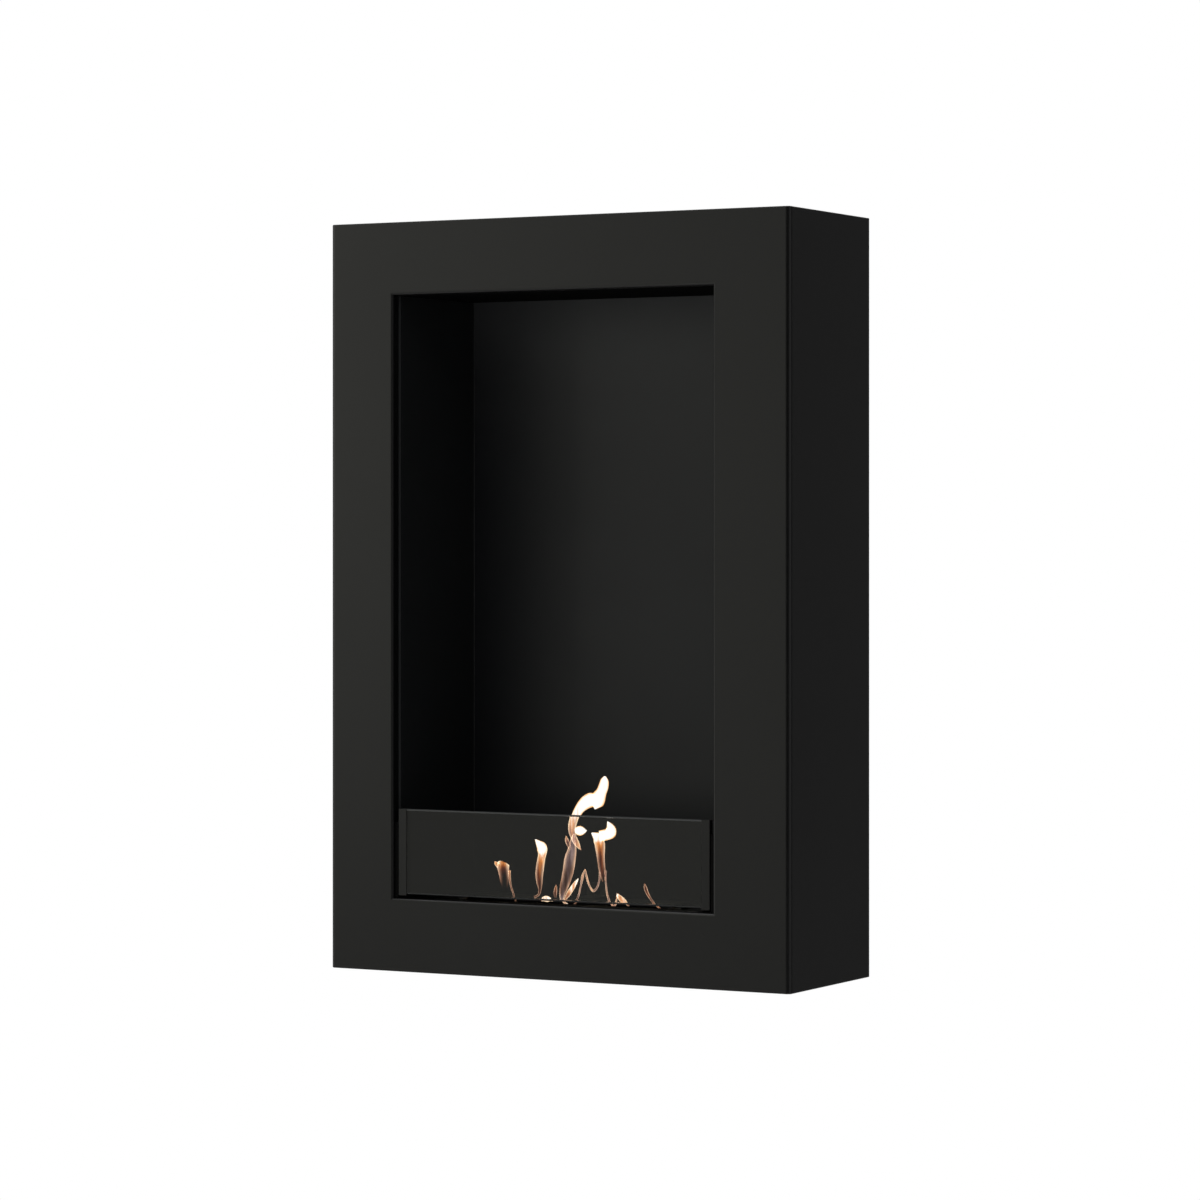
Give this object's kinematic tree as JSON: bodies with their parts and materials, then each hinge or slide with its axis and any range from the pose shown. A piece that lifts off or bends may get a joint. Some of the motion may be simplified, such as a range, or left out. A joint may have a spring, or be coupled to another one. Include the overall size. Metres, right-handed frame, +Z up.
{
  "type": "bioethanol fireplace",
  "caption": "Upright wall-hung steel box with a tall open firebox, a low tinted glass screen across its foot, and a lift-out burner whose sliding lid sets and puts out the fire.",
  "frame": {"origin": "middle of the footprint, at the level of the casing's lowest face", "axes": "+X to the right as seen from the room, +Y from the front face to the wall, +Z up"},
  "size_m": [0.55, 0.19, 0.8],
  "materials": {
    "powder_coat": "satin black powder coat on steel sheet",
    "stove_paint": "satin black heat-resistant paint on steel sheet",
    "stainless": "brushed stainless steel",
    "zinc_plate": "zinc-plated steel sheet",
    "black_screw": "blackened steel",
    "tinted_glass": "polished tempered glass, dark grey tint",
    "ceramic_wool": "white ceramic fibre",
    "rubber": "matt black heat-resistant rubber"
  },
  "bodies": {
    "wall": {"wall_rail": "zinc_plate", "wall_screw_left": "zinc_plate", "wall_screw_right": "zinc_plate"},
    "casing": {"outer_shell": "powder_coat", "back_panel": "zinc_plate", "hanger_bar": "zinc_plate", "hanger_screw_1": "zinc_plate", "hanger_screw_2": "zinc_plate", "hanger_screw_3": "zinc_plate", "hanger_screw_4": "zinc_plate", "panel_screw_1": "black_screw", "panel_screw_2": "black_screw", "panel_screw_3": "black_screw", "panel_screw_4": "black_screw", "panel_screw_5": "black_screw", "panel_screw_6": "black_screw", "liner_screw_1": "black_screw", "liner_screw_2": "black_screw", "liner_screw_3": "black_screw", "liner_screw_4": "black_screw", "liner_screw_5": "black_screw", "liner_screw_6": "black_screw", "firebox_back": "stove_paint", "firebox_top": "stove_paint", "firebox_left": "stove_paint", "firebox_right": "stove_paint", "burner_deck": "stove_paint", "deck_support_left": "stove_paint", "deck_support_right": "stove_paint", "spill_tray": "zinc_plate", "screen_guide_left": "rubber", "screen_guide_right": "rubber", "wall_spacer_left": "rubber", "wall_spacer_right": "rubber"},
    "screen": {"screen_glass": "tinted_glass", "screen_end_left": "powder_coat", "screen_end_right": "powder_coat"},
    "burner": {"burner_tank": "stainless", "burner_top": "stainless", "burner_wool": "ceramic_wool", "lid_guide_left": "stainless", "lid_guide_right": "stainless"},
    "lid": {"slide_lid": "stainless", "lid_pull": "stainless"}
  },
  "joints": [
    {"name": "hang_lift", "type": "slide", "parent": "wall", "child": "casing", "axis": [0, 0, 1], "range_m": [0, 0.025]},
    {"name": "screen_lift", "type": "slide", "parent": "casing", "child": "screen", "axis": [0, 0, 1], "range_m": [0, 0.085]},
    {"name": "burner_lift", "type": "slide", "parent": "casing", "child": "burner", "axis": [0, 0, 1], "range_m": [0, 0.075]},
    {"name": "lid_slide", "type": "slide", "parent": "burner", "child": "lid", "axis": [0, -1, 0], "range_m": [0, 0.032]}
  ]
}
